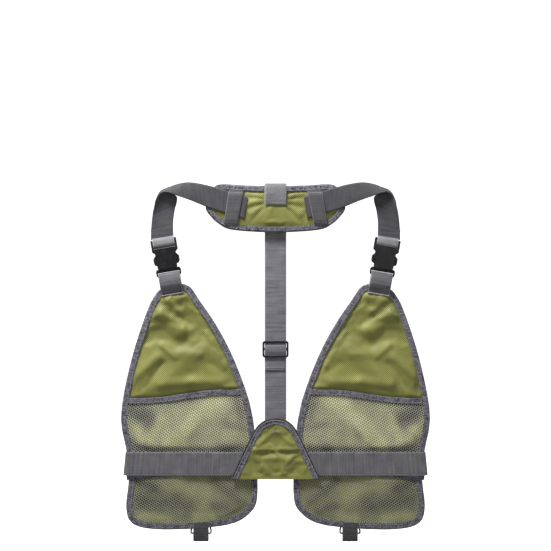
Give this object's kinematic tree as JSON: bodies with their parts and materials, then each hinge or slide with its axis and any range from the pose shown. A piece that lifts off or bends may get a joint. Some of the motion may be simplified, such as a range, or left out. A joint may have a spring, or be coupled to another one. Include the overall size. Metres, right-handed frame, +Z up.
{
  "type": "fishing vest",
  "caption": "Light fishing vest: webbing back harness with neck pad and waist patch, and pocketed front panels hung on side-release buckles.",
  "frame": {"origin": "middle of the back patch's body side, on the waist belt's centre line", "axes": "+Z up as worn, +Y towards the wearer's front, +X to the wearer's right"},
  "size_m": [0.544, 0.0589, 0.63],
  "materials": {
    "ripstop": "lime-olive woven polyester with a soft sheen",
    "webbing": "grey ribbed webbing",
    "binding": "grey folded binding tape, puckered",
    "mesh": "pale green open mesh",
    "foam": "closed-cell foam sheet, hidden",
    "zip_tape": "woven zip tape",
    "plastic": "black moulded, satin",
    "metal": "dark plated wire and die casting"
  },
  "bodies": {
    "back_harness": {"neck_pad_shell": "ripstop", "neck_pad_foam": "foam", "neck_pad_lining_left": "ripstop", "neck_pad_lining_right": "ripstop", "neck_pad_binding": "binding", "strap_anchor_left": "webbing", "strap_anchor_right": "webbing", "shoulder_strap_left": "webbing", "shoulder_strap_right": "webbing", "centre_strap": "webbing", "back_patch_shell": "ripstop", "back_patch_lining": "ripstop", "back_patch_binding": "binding", "waist_belt": "webbing"},
    "centre_adjuster": {"centre_slider": "plastic", "centre_strap_end": "webbing"},
    "left_panel": {"left_panel_body": "ripstop", "left_panel_binding": "binding", "left_mesh_pocket_upper": "mesh", "left_mesh_pocket_lower": "mesh", "left_mesh_binding": "binding", "left_chest_pocket": "ripstop", "left_cargo_pocket": "ripstop", "left_zip_tape": "zip_tape", "left_strap_tab": "webbing", "left_strap_front_run": "webbing", "left_buckle_housing": "plastic", "left_hem_tab": "webbing", "left_belt_end": "webbing", "left_closure_strap": "webbing"},
    "left_flap": {"left_chest_flap": "ripstop"},
    "left_zip": {"left_zip_slider": "metal"},
    "left_puller": {"left_zip_puller": "plastic"},
    "left_insert": {"left_buckle_insert": "plastic"},
    "left_outer_prong": {"left_prong_outer": "plastic"},
    "left_inner_prong": {"left_prong_inner": "plastic"},
    "left_ring": {"left_hem_ring": "metal"},
    "left_closure": {"left_closure_housing": "plastic"},
    "right_panel": {"right_panel_body": "ripstop", "right_panel_binding": "binding", "right_mesh_pocket_upper": "mesh", "right_mesh_pocket_lower": "mesh", "right_mesh_binding": "binding", "right_chest_pocket": "ripstop", "right_cargo_pocket": "ripstop", "right_zip_tape": "zip_tape", "right_strap_tab": "webbing", "right_strap_front_run": "webbing", "right_buckle_housing": "plastic", "right_hem_tab": "webbing", "right_belt_end": "webbing", "right_closure_strap": "webbing"},
    "right_flap": {"right_chest_flap": "ripstop"},
    "right_zip": {"right_zip_slider": "metal"},
    "right_puller": {"right_zip_puller": "plastic"},
    "right_insert": {"right_buckle_insert": "plastic"},
    "right_outer_prong": {"right_prong_outer": "plastic"},
    "right_inner_prong": {"right_prong_inner": "plastic"},
    "right_ring": {"right_hem_ring": "metal"},
    "right_closure": {"right_closure_insert": "plastic"}
  },
  "joints": [
    {"name": "centre_adjust", "type": "slide", "parent": "back_harness", "child": "centre_adjuster", "axis": [0, 0, 1], "range_m": [-0.06, 0.09], "stiffness_N_per_m": 150},
    {"name": "left_panel_swing", "type": "hinge", "parent": "back_harness", "child": "left_panel", "pos_m": [-0.264, -0.0028, 0], "axis": [0, 0, 1], "range_deg": [0, 75]},
    {"name": "left_buckle_release", "type": "slide", "parent": "left_panel", "child": "left_insert", "axis": [0.1685, 0, -0.9857], "range_m": [0, 0.028], "stiffness_N_per_m": 250, "deforming": ["left_strap_tab"]},
    {"name": "left_prong_outer_flex", "type": "hinge", "parent": "left_insert", "child": "left_outer_prong", "pos_m": [-0.20097, -0.0055, 0.34121], "axis": [0, 1, 0], "range_deg": [0, 8]},
    {"name": "left_prong_inner_flex", "type": "hinge", "parent": "left_insert", "child": "left_inner_prong", "pos_m": [-0.17583, -0.0055, 0.34551], "axis": [0, 1, 0], "range_deg": [-8, 0]},
    {"name": "left_flap_lift", "type": "hinge", "parent": "left_panel", "child": "left_flap", "pos_m": [-0.165, 0.0083, 0.234], "axis": [1, 0, 0], "range_deg": [0, 150]},
    {"name": "left_zip_slide", "type": "slide", "parent": "left_panel", "child": "left_zip", "axis": [1, 0, 0], "range_m": [0, 0.12]},
    {"name": "left_puller_flip", "type": "hinge", "parent": "left_zip", "child": "left_puller", "pos_m": [-0.208, 0.03765, 0.025], "axis": [1, 0, 0], "range_deg": [0, 120]},
    {"name": "left_ring_swing", "type": "hinge", "parent": "left_panel", "child": "left_ring", "pos_m": [-0.131, 0.002, -0.123], "axis": [-1, 0, 0], "range_deg": [0, 105]},
    {"name": "left_closure_swing", "type": "hinge", "parent": "left_panel", "child": "left_closure", "pos_m": [-0.0425, 0.012, 0.02], "axis": [0, 0, 1], "range_deg": [0, 70]},
    {"name": "right_panel_swing", "type": "hinge", "parent": "back_harness", "child": "right_panel", "pos_m": [0.264, -0.0028, 0], "axis": [0, 0, -1], "range_deg": [0, 75]},
    {"name": "right_buckle_release", "type": "slide", "parent": "right_panel", "child": "right_insert", "axis": [-0.1685, 0, -0.9857], "range_m": [0, 0.028], "stiffness_N_per_m": 250, "deforming": ["right_strap_tab"]},
    {"name": "right_prong_outer_flex", "type": "hinge", "parent": "right_insert", "child": "right_outer_prong", "pos_m": [0.20097, -0.0055, 0.34121], "axis": [0, -1, 0], "range_deg": [0, 8]},
    {"name": "right_prong_inner_flex", "type": "hinge", "parent": "right_insert", "child": "right_inner_prong", "pos_m": [0.17583, -0.0055, 0.34551], "axis": [0, -1, 0], "range_deg": [-8, 0]},
    {"name": "right_flap_lift", "type": "hinge", "parent": "right_panel", "child": "right_flap", "pos_m": [0.165, 0.0083, 0.234], "axis": [1, 0, 0], "range_deg": [0, 150]},
    {"name": "right_zip_slide", "type": "slide", "parent": "right_panel", "child": "right_zip", "axis": [-1, 0, 0], "range_m": [0, 0.12]},
    {"name": "right_puller_flip", "type": "hinge", "parent": "right_zip", "child": "right_puller", "pos_m": [0.208, 0.03765, 0.025], "axis": [1, 0, 0], "range_deg": [0, 120]},
    {"name": "right_ring_swing", "type": "hinge", "parent": "right_panel", "child": "right_ring", "pos_m": [0.131, 0.002, -0.123], "axis": [-1, 0, 0], "range_deg": [0, 105]},
    {"name": "right_closure_swing", "type": "hinge", "parent": "right_panel", "child": "right_closure", "pos_m": [0.0425, 0.012, 0.02], "axis": [0, 0, -1], "range_deg": [0, 70]}
  ],
  "couplings": [
    {"joint": "left_prong_inner_flex", "follows": "left_prong_outer_flex", "ratio": -1},
    {"joint": "right_prong_inner_flex", "follows": "right_prong_outer_flex", "ratio": -1}
  ]
}
